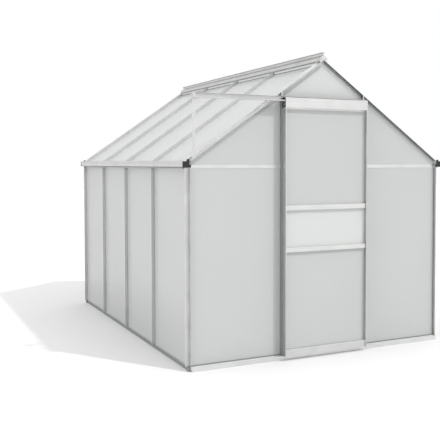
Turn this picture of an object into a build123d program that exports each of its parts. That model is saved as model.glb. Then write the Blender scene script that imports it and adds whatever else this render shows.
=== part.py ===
import os
from math import cos, radians, sin, tan

from build123d import *

# Layout: x across the gable, y along the house, front gable towards -y, z up from the ground
bay = 610.0             # spacing of the glazing bars, one sheet wide
side_bays = 4
gable_bays = 3
wall_top = 1210.0       # underside of the gutters
roof_pitch = 35.0       # degrees
eave_rise = 22.3        # roof plane above the wall top, over the wall line

# Extruded bars
wall = 1.8              # thickness of every extruded wall
lip = 28.0              # how far stems and lips stand out of a wall or roof plane
bead = 7.0              # bead along the edge of a stem
flange = 18.0           # half width of a glazing bar's seat
arm = 36.0              # seats of a corner bar
verge_level = 18.8      # top of a rafter's front flange above the roof plane
keel = 16.0             # depth of the bolt channel behind a seat
keel_width = 14.0
keel_inset = 27.0       # bolt channel of a corner bar, from its corner
bolt_slot = 6.5

# Sheets and fits
sheet = 4.0             # twin-wall sheet
edge_gap = 2.0          # free edge of a sheet to the stem beside it
gap = 0.3               # assembly gap between pieces

# Sill
ledge_height = 28.0     # ledge that bars and sheets stand on
ledge_reach = 8.0       # ledge past the wall line
upstand = 75.0          # inner web that the bars are bolted to
foot = 27.0             # inner foot with the anchor holes
anchor_hole = 7.0       # diameter
anchor_inset = 120.0    # anchor hole from the house corner, along the side
threshold_margin = 30.0  # upstand left beside a door post
guide_rail = 26.0       # height of the door's guide rail along the front sill
guide_reach = 40.0      # guide rail's face from the wall line

# Gutter
gutter_reach = 48.0
gutter_height = 42.0
gutter_round = 16.0
gutter_bead = 6.0
gutter_inner = 10.0     # low inner wall of the trough
gutter_web = 55.0       # web down to the wall bars
eave_flange = 50.0      # sloping flange up to the roof bars
gutter_over = 24.0      # trough past the gable line
cap_thick = 3.0
bar_start = 4.0         # roof bars reach this far past the wall line

# Ridge
ridge_rise = 71.0       # top of the ridge above the roof apex
fin = 17.0              # upright fin above the wings
wing_reach = 26.0
ridge_web = 3.0
ridge_flange = 50.0
ridge_over = 23.0       # ridge past the gable line
ridge_cap = 22.0        # flat cap on the fin
sheet_drip = 18.0       # roof sheets reach this far into the gutter

# Gable
transom_height = 22.0
transom_rise = 6.0      # transom's middle above the wall top
header_drop = 16.4      # door header's middle below the roof plane at the door posts
brace_width = 16.0
brace_thick = 2.0
brace_low = 85.0        # lower end of a gable brace above the ground
brace_drop = 30.0       # upper end below the wall top
gusset_thick = 2.0
nut_flat = 10.0
nut_height = 5.0
nut_low = 50.0          # nuts on the sill
nut_drop = 25.0         # nuts under the gutter

# Door
door_bottom = 28.0
door_gap = 18.0         # from the post's lip to the back of the door
door_depth = 30.0
door_drop = 16.4        # door's top below the roof plane at the door posts
stile_face = 7.0
stile_box = 23.5        # depth of a stile's hollow front
stile_seat = 22.0       # seat behind the sheet
sheet_slot = 4.4
top_rail = 63.0         # tall fascia in front of the track
top_box = 20.0
mid_rail = 30.0
upper_rail_top = 973.0
lower_rail_top = 710.0
bottom_rail = 44.0
rail_recess = 8.0       # rails behind the stile face
sheet_lap = 10.0        # sheet edge inside its slot
sheet_lips = 8.0        # slot lips under the top rail

# Track and running gear
track_height = 30.0
track_wall = 2.0
track_front = 6.0       # from the door's face back to the track
track_lip = 8.0
track_drop = 10.4       # track's top below the roof plane at the door posts
wheel_radius = 11.7
wheel_width = 10.0
tread = 1.5             # chamfer beside the wheel's tread
wheel_inset = 65.0      # wheels from the door's edge
axle_radius = 3.0
running_fit = 0.05      # radial
collar_radius = 4.8
stop_length = 14.0      # end stop of the track
strut_inset = 4.0       # strut from the track's end
strut_width = 18.0
strut_thick = 3.0
strut_foot = 37.0
bracket_width = 34.0
bracket_height = 24.0
buffer_length = 24.0
buffer_past = 8.0       # buffer past the door's edge
buffer_height = 13.0
guide_inset = 105.0     # guides from the door's edge
guide_width = 40.0
guide_height = 12.0
guide_finger = 5.0
seal_thick = 2.8
seal_clear = 1.0        # seal to the post's lip

# Roof vent, over one bay of the right slope
vent_bay = 2            # counted from the front
vent_length = 520.0
vent_depth = 18.0
vent_side = 8.0         # vent past the middle of the roof bars
vent_flange = 22.0
vent_skirt = 10.0
hinge_reach = 10.0      # hinge beyond the ridge wing
hinge_level = 36.0      # hinge above the roof plane
hinge_tube = 6.0        # outer radius
hinge_pin = 3.0         # radius
pin_length = 20.0
ear_thick = 3.0
slam_base = 20.0        # slam bar down over the sheet below
slam_width = 14.0
stay_length = 280.0
stay_width = 16.0
stay_thick = 3.0
stay_inset = 24.0       # stay's pivot from the vent's lower edge
stay_level = 33.0       # stay's pivot above the roof plane
stay_pin = 2.5
stay_hole = 3.5
stay_holes = 6
stay_pitch = 40.0
peg_radius = 3.0
peg_length = 10.0
peg_level = 14.0

half_width = gable_bays * bay / 2
half_length = side_bays * bay / 2
slope = radians(roof_pitch)
eave_z = wall_top + eave_rise
apex_z = eave_z + half_width * tan(slope)
sheet_out = wall + sheet
web_back = keel + wall
door_x = bay / 2

up = Vector(0, 0, 1)
front = Vector(0, -1, 0)
rear = Vector(0, 1, 0)
left = Vector(-1, 0, 0)
right = Vector(1, 0, 0)
nodes = {}


def keep(name, *parts):
    nodes[name] = [solid for part in parts for solid in part.solids()]


# Shapes

def strip(a0, a1, b0, b1):
    return Pos((a0 + a1) / 2, (b0 + b1) / 2) * Rectangle(a1 - a0, b1 - b0)


def outline(*points):
    return make_face(Polyline(*points, close=True))


def block(x, y, z):
    return Pos(sum(x) / 2, sum(y) / 2, sum(z) / 2) * Box(x[1] - x[0], y[1] - y[0], z[1] - z[0])


def run(section, start, along, out, length):
    # A straight bar: the section's first axis lies across, its second axis points out
    plane = Plane(origin=start, x_dir=out.cross(along), z_dir=along)
    return extrude(plane * section, amount=length)


def flipped(section):
    # The section with its two axes exchanged
    return mirror(section, about=Plane((0, 0, 0), x_dir=(1, 1, 0), z_dir=(1, -1, 0)))


def corner_run(section, start, along, out_a, out_b, length):
    # A bar on a corner: the section's first axis points along out_a, its second along out_b
    if out_a.cross(out_b).dot(along) < 0:
        return corner_run(flipped(section), start, along, out_b, out_a, length)
    plane = Plane(origin=start, x_dir=out_a, z_dir=along)
    return extrude(plane * section, amount=length)


def trim(part, point, normal):
    return split(part, bisect_by=Plane(origin=point, z_dir=normal), keep=Keep.BOTTOM)


def gable_plate(y, thickness, *points):
    # A flat plate in a gable plane, from y towards the front
    plane = Plane(origin=(0, y, 0), x_dir=(1, 0, 0), z_dir=(0, -1, 0))
    return extrude(plane * outline(*points), amount=thickness)


# Places

def on_wall(out, along, z, n=0.0):
    # along is x on a gable and y on a side wall, n is the distance out of the wall plane
    if out.X:
        return Vector(out.X * (half_width + n), along, z)
    return Vector(along, out.Y * (half_length + n), z)


def roof_z(x, n=0.0):
    return apex_z - abs(x) * tan(slope) + n / cos(slope)


def roof_out(side):
    return Vector(side * sin(slope), 0, cos(slope))


def roof_up(side):
    return Vector(-side * cos(slope), 0, sin(slope))


def roof_point(side, s, n, y):
    # s runs up the slope from the wall line, n stands out of the roof plane
    return Vector(side * half_width, y, eave_z) + roof_up(side) * s + roof_out(side) * n


def roof_s(x, n):
    return (half_width + n * sin(slope) - x) / cos(slope)


# Sections

def channel(middle, width, depth):
    # Bolt channel behind a seat, open inwards
    low = middle - width / 2
    high = middle + width / 2
    sides = strip(low, low + wall, -depth, 0) + strip(high - wall, high, -depth, 0)
    lips = strip(low, middle - bolt_slot / 2, -depth, -depth + wall)
    lips += strip(middle + bolt_slot / 2, high, -depth, -depth + wall)
    return sides + lips


bar_section = strip(-flange, flange, 0, wall) + strip(-wall / 2, wall / 2, 0, lip)
bar_section += strip(-bead / 2, bead / 2, lip - wall, lip) + channel(0, keel_width, keel)

corner_half = strip(-arm, lip, 0, wall) + channel(-keel_inset, keel_width, keel)
corner_section = corner_half + flipped(corner_half)

rafter_seat = strip(-arm, wall, 0, wall) + channel(-keel_inset, keel_width, keel)
rafter_section = corner_half + flipped(rafter_seat) + strip(verge_level - wall, verge_level, 0, lip)

sill_section = strip(0, upstand, -web_back, -keel)
sill_section += strip(ledge_height - wall, ledge_height, -web_back, ledge_reach)
sill_section += strip(0, wall, -web_back - foot, -keel)

guide_section = strip(0, wall, -keel, guide_reach)
guide_section += strip(0, guide_rail, guide_reach - wall, guide_reach)


def rounded_trough(inset, top):
    trough = strip(inset, top, inset, gutter_reach - inset)
    corner = trough.vertices().group_by(Axis.Y)[-1].sort_by(Axis.X)[0]
    return fillet(corner, gutter_round - inset)


def eave_point(s, n):
    return (eave_rise + s * sin(slope) + n * cos(slope), -s * cos(slope) + n * sin(slope))


def eave_s(height, n):
    return (height - eave_rise - n * cos(slope)) / sin(slope)


gutter_section = rounded_trough(0, gutter_height) - rounded_trough(wall, gutter_height + wall)
gutter_section -= strip(gutter_inner, gutter_height + wall, -wall, 2 * wall)
gutter_section += strip(gutter_height - wall, gutter_height, gutter_reach - gutter_bead, gutter_reach)
gutter_section += strip(0, wall, -web_back, wall) + strip(-gutter_web, wall, -web_back, -keel)
gutter_section += outline(eave_point(eave_s(0, -keel), -keel), eave_point(eave_flange, -keel),
                          eave_point(eave_flange, -web_back), eave_point(eave_s(0, -web_back), -web_back))

cap_section = strip(gap, gutter_height - 4, gutter_reach / 2 - 4, gutter_reach + 1)
cap_section += strip(gap, eave_rise - wall * 3, -wall * 2, gutter_reach / 2)
cap_section += strip(gap, gutter_height + 8, bar_start + wall, gutter_reach / 2)


def roof_band(side, n0, n1, x0, x1):
    return outline((side * x0, roof_z(x0, n0)), (side * x1, roof_z(x1, n0)),
                   (side * x1, roof_z(x1, n1)), (side * x0, roof_z(x0, n1)))


ridge_top = apex_z + ridge_rise
wing_level = (ridge_rise - fin) * cos(slope)
flange_x = ridge_flange * cos(slope)
ridge_section = strip(-ridge_web / 2, ridge_web / 2, roof_z(0, -web_back), ridge_top)
ridge_section += strip(-ridge_cap / 2, ridge_cap / 2, ridge_top - wall, ridge_top)
for side in (-1, 1):
    ridge_section += roof_band(side, -web_back, -keel, 0, flange_x)
    ridge_section += roof_band(side, wing_level - wall, wing_level, 0, wing_reach)
    ridge_section += roof_band(side, lip + gap, wing_level, wing_reach - wall, wing_reach)

transom_face = strip(-transom_height / 2, transom_height / 2, sheet_out, sheet_out + wall)
transom_face += strip(-wall / 2, wall / 2, wall, sheet_out)
transom_back = strip(-transom_height / 2, transom_height / 2, 0, wall)


# Sills, mitred at the corners

def sill(out, half_run):
    along = up.cross(out)
    middle = on_wall(out, 0, 0)
    part = run(sill_section, middle - along * (half_run + lip), along, out, 2 * (half_run + lip))
    part = trim(part, middle + along * half_run, along - out)
    return trim(part, middle - along * half_run, -along - out)


def anchor_holes(part, out):
    place = on_wall(out, half_length - anchor_inset, 0, -web_back - foot / 2)
    for y in (-place.Y, place.Y):
        part -= Pos(place.X, y, 0) * Cylinder(anchor_hole / 2, 4 * wall)
    return part


threshold = door_x - threshold_margin
front_sill = sill(front, half_width)
front_sill -= block((-threshold, threshold), (-half_length, -half_length + 2 * keel),
                    (ledge_height, 2 * upstand))
front_sill += run(guide_section, on_wall(front, -half_width, 0), right, front, 2 * half_width)
keep("front_sill", front_sill)
keep("rear_sill", sill(rear, half_width))
keep("left_sill", anchor_holes(sill(left, half_length), left))
keep("right_sill", anchor_holes(sill(right, half_length), right))

# Upright bars
post_length = wall_top - ledge_height
for gable_name, gable in (("front", front), ("rear", rear)):
    for side_name, wall_out in (("left", left), ("right", right)):
        corner = Vector(wall_out.X * half_width, gable.Y * half_length, ledge_height)
        post = corner_run(corner_section, corner, up, wall_out, gable, post_length)
        keep(f"{gable_name}_{side_name}_corner_post", post)

bar_places = [(i - side_bays / 2) * bay for i in range(1, side_bays)]
keep("wall_bars", *[run(bar_section, on_wall(out, y, ledge_height), up, out, post_length)
                    for out in (left, right) for y in bar_places])


def gable_bar(out, x):
    # The seat and channel stop under the rafter's arm, the stem runs on to its flange
    side = 1 if x > 0 else -1
    bar = run(bar_section, on_wall(out, x, ledge_height), up, out, roof_z(0, lip) - ledge_height)
    layer = on_wall(out, x, 0, wall)
    seat = trim(trim(bar, layer, out), (0, 0, roof_z(0, -arm - gap)), roof_out(side))
    stem = trim(trim(bar, layer, -out), (0, 0, roof_z(0, verge_level - wall - gap)), roof_out(side))
    return seat + stem


keep("left_door_post", gable_bar(front, -door_x))
keep("right_door_post", gable_bar(front, door_x))
keep("rear_gable_bars", gable_bar(rear, -door_x), gable_bar(rear, door_x))

# Gutters and their caps
gutter_half = half_length + gutter_over
side_gap = half_length - gap


def gutter(out):
    along = up.cross(out)
    part = run(gutter_section, on_wall(out, 0, wall_top) - along * gutter_half, along, out, 2 * gutter_half)
    inner = sorted((out.X * half_width, out.X * (half_width - 2 * arm)))
    for y in ((-2 * half_length, -side_gap), (side_gap, 2 * half_length)):
        part -= block(inner, y, (wall_top - 2 * gutter_web, wall_top + 2 * gutter_web))
    return part


def gutter_caps(out):
    along = up.cross(out)
    middle = on_wall(out, 0, wall_top)
    return [run(cap_section, middle + along * start, along, out, cap_thick)
            for start in (gutter_half, -gutter_half - cap_thick)]


keep("left_gutter", gutter(left))
keep("right_gutter", gutter(right))
keep("gutter_end_caps", *gutter_caps(left), *gutter_caps(right))

# Ridge, cut back over the gables where the rafters meet it
ridge_half = half_length + ridge_over
ridge_plane = Plane(origin=(0, ridge_half, 0), x_dir=(1, 0, 0), z_dir=(0, -1, 0))
ridge = extrude(ridge_plane * ridge_section, amount=2 * ridge_half)
for y in ((-2 * half_length, -side_gap), (side_gap, 2 * half_length)):
    ridge -= block((-flange_x - gap, flange_x + gap), y, (roof_z(0) - 2 * arm, roof_z(0, wall) + gap))
    ridge -= block((-ridge_web, ridge_web), y, (roof_z(0), roof_z(0, verge_level) + gap))
keep("ridge_bar", ridge)

# Roof bars and verge rafters
rafter_length = half_width / cos(slope) + bar_start
web_edge = ridge_web / 2 + gap


def to_ridge(part, side):
    return trim(part, (side * web_edge, 0, 0), Vector(-side, 0, 0))


def roof_bar(side, y):
    start = roof_point(side, -bar_start, 0, y)
    return to_ridge(run(bar_section, start, roof_up(side), roof_out(side), rafter_length + lip), side)


def rafter(side, gable):
    start = roof_point(side, -bar_start, 0, gable.Y * half_length)
    bar = corner_run(rafter_section, start, roof_up(side), roof_out(side), gable, rafter_length + lip)
    bar = trim(bar, (side * (half_width + bar_start), 0, 0), Vector(side, 0, 0))
    return trim(to_ridge(bar, side), (0, 0, wall_top + wall + gap), -up)


keep("left_roof_bars", *[roof_bar(-1, y) for y in bar_places])
keep("right_roof_bars", *[roof_bar(1, y) for y in bar_places])
for gable_name, gable in (("front", front), ("rear", rear)):
    for side_name, side in (("left", -1), ("right", 1)):
        keep(f"{gable_name}_{side_name}_rafter", rafter(side, gable))

# Transoms and door header: the face and web reach the stems, the back stops at the seats
transom_z = wall_top + transom_rise
stem_gap = wall / 2 + gap
seat_gap = flange + gap


def arm_edge(top):
    # x at which a rafter's arm comes down to this height
    return half_width - (top - eave_z + arm / cos(slope)) / tan(slope)


def transom(out, z, face, back):
    along = up.cross(out)
    start = 0 if along.X > 0 else 1
    part = run(transom_face, on_wall(out, face[start], z), along, out, face[1] - face[0])
    return part + run(transom_back, on_wall(out, back[start], z), along, out, back[1] - back[0])


outer_back = arm_edge(transom_z + transom_height / 2) - gap
left_face = (-half_width + gap, -door_x - stem_gap)
left_back = (-outer_back, -door_x - seat_gap)
right_face = (door_x + stem_gap, half_width - gap)
right_back = (door_x + seat_gap, outer_back)
inner_face = (-door_x + stem_gap, door_x - stem_gap)
inner_back = (-door_x + seat_gap, door_x - seat_gap)
keep("gable_transoms",
     *[transom(out, transom_z, left_face, left_back) for out in (front, rear)],
     *[transom(out, transom_z, right_face, right_back) for out in (front, rear)],
     transom(rear, transom_z, inner_face, inner_back))

header_z = roof_z(door_x) - header_drop
header_edge = arm_edge(header_z + transom_height / 2) - gap
keep("door_header", transom(front, header_z, inner_face, (-header_edge, header_edge)))

# Sheets
sheet_low = ledge_height + gap
sheet_high = wall_top - gap
lower_top = transom_z - wall / 2 - gap
upper_low = transom_z + wall / 2 + gap
stem_edge = wall / 2 + edge_gap


def wall_sheet(out, low, high, z0, z1):
    section = strip(-(high - low) / 2, (high - low) / 2, wall, sheet_out)
    return run(section, on_wall(out, (low + high) / 2, z0), up, out, z1 - z0)


def bay_edges(i):
    # Free edges of the sheet in one bay of the side, between stems or the lips at the corners
    low = (i - side_bays / 2) * bay
    low += edge_gap if i == 0 else stem_edge
    high = (i + 1 - side_bays / 2) * bay
    high -= edge_gap if i == side_bays - 1 else stem_edge
    return low, high


def roof_sheet(side, i, s0, s1):
    low, high = bay_edges(i)
    section = strip(-(high - low) / 2, (high - low) / 2, wall, sheet_out)
    return run(section, roof_point(side, s0, 0, (low + high) / 2), roof_up(side), roof_out(side), s1 - s0)


def sheet_y(out):
    return -half_length - wall if out.Y < 0 else half_length + sheet_out


def under_roof(x):
    return (x, roof_z(x, verge_level - wall - edge_gap))


outer_x = half_width - edge_gap
post_outer = door_x + stem_edge
post_inner = door_x - stem_edge


def gable_side_sheet(out, side):
    return gable_plate(sheet_y(out), sheet, (side * post_outer, upper_low), (side * outer_x, upper_low),
                       under_roof(side * outer_x), under_roof(side * post_outer))


def apex_sheet(out, low):
    return gable_plate(sheet_y(out), sheet, (-post_inner, low), (post_inner, low),
                       under_roof(post_inner), under_roof(0), under_roof(-post_inner))


keep("left_wall_panels", *[wall_sheet(left, *bay_edges(i), sheet_low, sheet_high) for i in range(side_bays)])
keep("right_wall_panels", *[wall_sheet(right, *bay_edges(i), sheet_low, sheet_high) for i in range(side_bays)])
gable_lower = [(-outer_x, -post_outer), (post_outer, outer_x)]
keep("front_lower_panels", *[wall_sheet(front, *edges, sheet_low, lower_top) for edges in gable_lower])
keep("front_gable_panels", gable_side_sheet(front, -1), gable_side_sheet(front, 1),
     apex_sheet(front, header_z + wall / 2 + gap))
gable_lower.append((-post_inner, post_inner))
keep("rear_lower_panels", *[wall_sheet(rear, *edges, sheet_low, lower_top) for edges in gable_lower])
keep("rear_gable_panels", gable_side_sheet(rear, -1), gable_side_sheet(rear, 1), apex_sheet(rear, upper_low))

hinge_x = wing_reach + hinge_reach
hinge_s = roof_s(hinge_x, hinge_level)
sheet_end = roof_s(web_edge + edge_gap, sheet_out)
slam_sheet = hinge_s - vent_length + slam_width / 2
keep("left_roof_panels", *[roof_sheet(-1, i, -sheet_drip, sheet_end) for i in range(side_bays)])
keep("right_roof_panels", *[roof_sheet(1, i, -sheet_drip, slam_sheet if i == vent_bay else sheet_end)
                            for i in range(side_bays)])

# Gable braces, flat bars bolted to the bolt channels
inner_y = half_length - keel


def brace(out, side):
    low = Vector(side * door_x, brace_low)
    high = Vector(side * (half_width - keel_inset), wall_top - brace_drop)
    bar = SlotCenterToCenter((high - low).length, brace_width)
    lean = Vector(1, 0).get_signed_angle(high - low)
    plane = Plane(origin=(0, out.Y * inner_y + (brace_thick if out.Y < 0 else 0), 0), x_dir=(1, 0, 0),
                  z_dir=(0, -1, 0))
    middle = (low + high) * 0.5
    return extrude(plane * (Pos(middle.X, middle.Y) * Rot(0, 0, lean) * bar), amount=brace_thick)


keep("gable_braces", *[brace(out, side) for out in (front, rear) for side in (-1, 1)])


# Gusset plates over the bar ends, and the nuts of the frame

def gussets(out):
    y = out.Y * inner_y + (gusset_thick if out.Y < 0 else 0)
    arm_low = roof_z(0, -arm)
    arm_high = roof_z(0, -keel_inset + keel_width / 2)
    plates = [gable_plate(y, gusset_thick, (0, arm_high), (2 * arm, arm_high - 2 * arm * tan(slope)),
                          (2 * arm, arm_low - 2 * arm * tan(slope)), (-2 * arm, arm_low - 2 * arm * tan(slope)),
                          (-2 * arm, arm_high - 2 * arm * tan(slope)))]
    for side in (-1, 1):
        high = roof_z(door_x + keel_width, -keel)
        plates.append(gable_plate(y, gusset_thick, (side * (door_x - keel_width), high - 2 * arm),
                                  (side * (door_x + keel_width), high - 2 * arm),
                                  (side * (door_x + keel_width), high), (side * (door_x - keel_width), high)))
        near = half_width - web_back - gap
        far = near - arm
        low = wall_top - brace_drop + brace_width
        plates.append(gable_plate(y, gusset_thick, (side * near, low), (side * far, low),
                                  (side * far, roof_z(far, -web_back - gap)),
                                  (side * near, roof_z(near, -web_back - gap))))
    return plates


keep("gusset_plates", *gussets(front), *gussets(rear))


def nut(place, out):
    plane = Plane(origin=place, z_dir=out)
    return extrude(plane * RegularPolygon(nut_flat / 2, 6, major_radius=False), amount=nut_height)


nuts = []
for out in (left, right):
    edge = half_length - keel_inset
    for y in [-edge, *bar_places, edge]:
        nuts.append(nut(on_wall(out, y, nut_low, -web_back), -out))
        nuts.append(nut(on_wall(out, y, wall_top - nut_drop, -web_back), -out))
        side = out.X
        nuts.append(nut(roof_point(side, eave_flange / 2, -web_back, y), -roof_out(side)))
        nuts.append(nut(roof_point(side, roof_s(flange_x / 2, -web_back), -web_back, y), -roof_out(side)))
for out in (front, rear):
    for x in (-half_width + keel_inset, -door_x, door_x, half_width - keel_inset):
        nuts.append(nut(on_wall(out, x, nut_low, -web_back), -out))
keep("frame_nuts", *nuts)

# Door: x runs from its right edge inwards on a stile, depth runs back from its face
door_back = half_length + lip + door_gap
door_face = door_back + door_depth
track_top = roof_z(door_x) - track_drop
door_top = roof_z(door_x) - door_drop
rail_low = door_top - top_rail


def deep(a0, a1, d0, d1):
    return strip(a0, a1, door_depth - d1, door_depth - d0)


def box_deep(a0, a1, d0, d1):
    return deep(a0, a1, d0, d1) - deep(a0 + wall, a1 - wall, d0 + wall, d1 - wall)


def across(section, z, half):
    return run(section, Vector(-half, -door_back, z), right, front, 2 * half)


seat_depth = stile_box + sheet_slot
back_depth = seat_depth + wall
stile_section = box_deep(0, stile_face, 0, stile_box) + deep(0, wall, 0, door_depth)
stile_section += deep(0, stile_seat, seat_depth, back_depth)
right_stile = run(stile_section, Vector(door_x, -door_back, door_bottom), up, front, rail_low - door_bottom)
keep("door_left_stile", mirror(right_stile, about=Plane.YZ))
keep("door_right_stile", right_stile)

rail_half = door_x - stile_face - gap
back_half = door_x - stile_seat - gap
top_section = deep(0, top_rail, 0, wall) + deep(top_rail - wall, top_rail, 0, track_front)
top_section += box_deep(0, top_box, 0, door_depth)
top_lips = deep(-sheet_lips, 0, stile_box - wall, stile_box)
top_seat = deep(-sheet_lips, 0, seat_depth, back_depth)
keep("door_top_rail", across(top_section, rail_low, door_x) + across(top_lips, rail_low, rail_half)
     + across(top_seat, rail_low, back_half))

mid_face = box_deep(0, mid_rail, rail_recess, stile_box)
mid_face += deep((mid_rail - wall) / 2, (mid_rail + wall) / 2, stile_box, seat_depth)
mid_seat = deep(0, mid_rail, seat_depth, back_depth)


def mid_rail_part(top):
    return across(mid_face, top - mid_rail, rail_half) + across(mid_seat, top - mid_rail, back_half)


keep("door_upper_mid_rail", mid_rail_part(upper_rail_top))
keep("door_lower_mid_rail", mid_rail_part(lower_rail_top))

bottom_face = box_deep(0, bottom_rail, rail_recess, stile_box) + deep(0, wall, stile_box, seat_depth)
bottom_seat = deep(0, bottom_rail + sheet_lap, seat_depth, back_depth)
keep("door_bottom_rail", across(bottom_face, door_bottom, rail_half)
     + across(bottom_seat, door_bottom, back_half))

sheet_half = door_x - wall - edge_gap
slot_play = (sheet_slot - sheet) / 2


def door_sheet(low, high):
    section = deep(0, high - low, stile_box + slot_play, stile_box + slot_play + sheet)
    return across(section, low, sheet_half)


rail_split = (mid_rail + wall) / 2 + gap
keep("door_upper_panel", door_sheet(upper_rail_top - mid_rail + rail_split, rail_low - gap))
keep("door_middle_panel", door_sheet(lower_rail_top - mid_rail + rail_split, upper_rail_top - rail_split))
keep("door_lower_panel", door_sheet(door_bottom + bottom_rail - sheet_lap, lower_rail_top - rail_split))

# Track with its end stop, strut and brackets
track_low = track_top - track_height
track_left = -half_width + wall / 2
track_section = deep(0, track_height, door_depth - track_wall, door_depth)
track_section += deep(0, track_wall, track_front, door_depth)
track_section += deep(0, track_lip, track_front, track_front + track_wall)
track_section += deep(track_height - track_wall, track_height, track_front + track_wall, door_depth)
stop_section = deep(0, track_height - track_wall, track_front, door_depth)
track = run(track_section, Vector(track_left, -door_back, track_low), right, front, door_x - track_left)
track += run(stop_section, Vector(track_left, -door_back, track_low), right, front, stop_length)
keep("door_track", track)

strut_left = track_left + strut_inset
strut_right = strut_left + strut_width
foot_level = verge_level
strut_y = -door_back + strut_thick
strut = gable_plate(strut_y, strut_thick, (strut_left, roof_z(strut_left, foot_level)),
                    (strut_right, roof_z(strut_right, foot_level)), (strut_right, track_top),
                    (strut_left, track_top))
foot_plate = gable_plate(strut_y + strut_foot, strut_foot, (strut_left, roof_z(strut_left, foot_level)),
                         (strut_right, roof_z(strut_right, foot_level)),
                         (strut_right, roof_z(strut_right, foot_level + strut_thick)),
                         (strut_left, roof_z(strut_left, foot_level + strut_thick)))
keep("track_strut", strut + foot_plate)

bracket_low = track_low + (track_height - bracket_height) / 2
bracket_z = (bracket_low, bracket_low + bracket_height)
bracket_x = door_x - bead / 2
bracket_back = -half_length - sheet_out - wall - gap
bracket = block((bracket_x - bracket_width, bracket_x), (-door_back, -door_back + track_wall), bracket_z)
bracket += block((bracket_x - track_wall, bracket_x), (-door_back, bracket_back), bracket_z)
keep("track_brackets", bracket, mirror(bracket, about=Plane.YZ))


# Wheels on axles behind the fascia
wheel_z = track_low + track_wall + wheel_radius + gap
wheel_depth = (track_front + track_wall + door_depth - track_wall - wheel_width) / 2


def spun(profile, x):
    # A turned piece: first axis radial, second axis back from the door's face
    centre = Vector(x, -door_face, wheel_z)
    plane = Plane(origin=centre, x_dir=(0, 0, 1), z_dir=(-1, 0, 0))
    return revolve(plane * profile, axis=Axis(centre, (0, 1, 0)))


def wheel(x):
    bore = axle_radius + running_fit
    near = wheel_depth
    far = wheel_depth + wheel_width
    profile = outline((bore, near), (wheel_radius - tread, near), (wheel_radius, near + tread),
                      (wheel_radius, far - tread), (wheel_radius - tread, far), (bore, far))
    return spun(profile, x)


def axle(x):
    near = wheel_depth - gap
    far = wheel_depth + wheel_width + gap
    profile = outline((0, wall), (collar_radius, wall), (collar_radius, near), (axle_radius, near),
                      (axle_radius, far), (collar_radius, far), (collar_radius, far + track_wall),
                      (0, far + track_wall))
    return spun(profile, x)


wheel_place = door_x - wheel_inset
keep("door_left_wheel", wheel(-wheel_place))
keep("door_right_wheel", wheel(wheel_place))
keep("door_wheel_axles", axle(-wheel_place), axle(wheel_place))

# Small parts of the door
buffer_low = track_low + track_lip + gap
keep("door_buffer", block((-door_x - buffer_past, -door_x - buffer_past + buffer_length),
                          (-door_face + wall, -door_face + wheel_depth + wheel_width),
                          (buffer_low, buffer_low + buffer_height)))

rail_inner = half_length + guide_reach - wall
finger_y = (-rail_inner + edge_gap / 2, -rail_inner + edge_gap / 2 + guide_finger)
guide_z = guide_rail + edge_gap
guide_back = -door_face + back_depth


def guide(x):
    across_x = (x - guide_width / 2, x + guide_width / 2)
    body = block(across_x, (guide_back, finger_y[1]), (guide_z, guide_z + guide_height))
    return body + block(across_x, finger_y, (wall + edge_gap, guide_z))


guide_place = door_x - guide_inset
keep("door_guides", guide(-guide_place), guide(guide_place))
seal_y = (-door_back, -half_length - lip - seal_clear)
seal_z = (door_bottom + edge_gap, rail_low - edge_gap)
seal = block((door_x - seal_thick, door_x), seal_y, seal_z)
keep("door_seals", mirror(seal, about=Plane.YZ), seal)

# Roof vent: t runs down the slope from its hinge, n stands out of the roof plane
vent_low = (vent_bay - side_bays / 2) * bay
vent_high = vent_low + bay
vent_y = (vent_low - vent_side, vent_high + vent_side)
vent_mid = (vent_low + vent_high) / 2
vent_top = lip + 2 * gap + vent_depth
vent_seat = vent_top - 2 * wall - sheet - gap
roof_down = -roof_up(1)


def vent_run(section, y0, y1):
    plane = Plane(origin=roof_point(1, hinge_s, 0, y1), x_dir=roof_down, z_dir=(0, -1, 0))
    return extrude(plane * section, amount=y1 - y0)


def vent_rod(t, n, radius, y0, y1):
    return vent_run(Pos(t, n) * Circle(radius), y0, y1)


top_edge = hinge_tube - wall
top_web = strip(top_edge - wall, top_edge, hinge_level, vent_top)
top_flanges = strip(top_edge - wall, vent_flange, vent_top - wall, vent_top)
top_flanges += strip(top_edge - wall, vent_flange, vent_seat, vent_seat + wall)
tube = Pos(0, hinge_level) * Circle(hinge_tube)
bore = Pos(0, hinge_level) * Circle(hinge_pin + running_fit)
keep("vent_top_rail", vent_run(tube + top_web + top_flanges - bore, *vent_y))

side_section = strip(0, wall, lip - vent_skirt, vent_top) + strip(0, vent_flange, vent_top - wall, vent_top)
side_section += strip(0, vent_flange, vent_seat, vent_seat + wall)
side_start = vent_flange + gap
side_end = vent_length - vent_flange - gap
low_side = run(side_section, roof_point(1, hinge_s - side_start, 0, vent_y[0]), roof_down, roof_out(1),
               side_end - side_start)
middle_plane = Plane(origin=(0, vent_mid, 0), z_dir=(0, 1, 0))
keep("vent_side_rails", low_side, mirror(low_side, about=middle_plane))

slam_top = lip
bottom_section = strip(vent_length - wall, vent_length, slam_top + gap, vent_top)
bottom_section += strip(vent_length - vent_flange, vent_length, vent_top - wall, vent_top)
bottom_section += strip(vent_length - vent_flange, vent_length, vent_seat, vent_seat + wall)
pivot_t = vent_length - stay_inset
stay_half = stay_width / 2 + edge_gap
ear_section = strip(pivot_t - 2 * stay_pin, vent_length, stay_level - 2 * stay_pin, vent_seat + wall / 2)
bottom_part = vent_run(bottom_section, *vent_y)
for side in (-1, 1):
    ear_y = sorted((vent_mid + side * stay_half, vent_mid + side * (stay_half + ear_thick)))
    bottom_part += vent_run(ear_section, *ear_y)
bottom_part += vent_rod(pivot_t, stay_level, stay_pin, vent_mid - stay_half, vent_mid + stay_half)
keep("vent_bottom_rail", bottom_part)

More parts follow.
